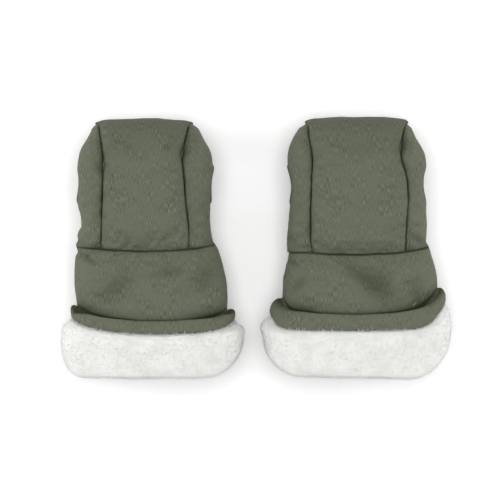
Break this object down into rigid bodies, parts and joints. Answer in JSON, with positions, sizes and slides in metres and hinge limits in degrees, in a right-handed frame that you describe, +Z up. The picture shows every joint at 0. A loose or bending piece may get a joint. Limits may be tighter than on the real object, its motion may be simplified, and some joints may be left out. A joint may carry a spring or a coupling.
{
  "type": "stroller hand muff",
  "caption": "Pair of padded softshell hand mitts for a stroller handlebar, with turned-up sherpa cuffs and snap-closed flaps under the tips.",
  "frame": {"origin": "on the floor, below the middle of the pair", "axes": "+X across the pair from the left mitt to the right, +Y towards the tips, +Z up from the underside to the back of the hand"},
  "size_m": [0.418, 0.28, 0.0926],
  "materials": {
    "softshell": "matt olive green softshell with a fine lengthwise melange grain",
    "sherpa": "off-white short curly sherpa pile",
    "wadding": "off-white fibre wadding",
    "binding": "dark olive woven tape",
    "stud_metal": "dark burnished metal"
  },
  "bodies": {
    "muffs": {"left_centre_panel": "softshell", "left_outer_side_panel": "softshell", "left_inner_side_panel": "softshell", "left_palm_panel": "softshell", "left_wrist_panel": "softshell", "left_cuff_hem": "softshell", "left_fleece_cuff": "sherpa", "left_hand_lining": "sherpa", "left_hand_wadding": "wadding", "left_outer_way_binding": "binding", "left_inner_way_binding": "binding", "left_stud_post_1": "stud_metal", "left_stud_post_2": "stud_metal", "right_centre_panel": "softshell", "right_outer_side_panel": "softshell", "right_inner_side_panel": "softshell", "right_palm_panel": "softshell", "right_wrist_panel": "softshell", "right_cuff_hem": "softshell", "right_fleece_cuff": "sherpa", "right_hand_lining": "sherpa", "right_hand_wadding": "wadding", "right_outer_way_binding": "binding", "right_inner_way_binding": "binding", "right_stud_post_1": "stud_metal", "right_stud_post_2": "stud_metal"},
    "left_flap": {"left_tip_flap": "softshell", "left_flap_facing": "sherpa", "left_stud_cap_1": "stud_metal", "left_stud_cap_2": "stud_metal"},
    "right_flap": {"right_tip_flap": "softshell", "right_flap_facing": "sherpa", "right_stud_cap_1": "stud_metal", "right_stud_cap_2": "stud_metal"}
  },
  "joints": [
    {"name": "left_flap_fold", "type": "hinge", "parent": "muffs", "child": "left_flap", "pos_m": [-0.119, 0.08979, 0], "axis": [1, 0, 0], "range_deg": [0, 170]},
    {"name": "right_flap_fold", "type": "hinge", "parent": "muffs", "child": "right_flap", "pos_m": [0.109, 0.08979, 0], "axis": [1, 0, 0], "range_deg": [0, 170]}
  ]
}
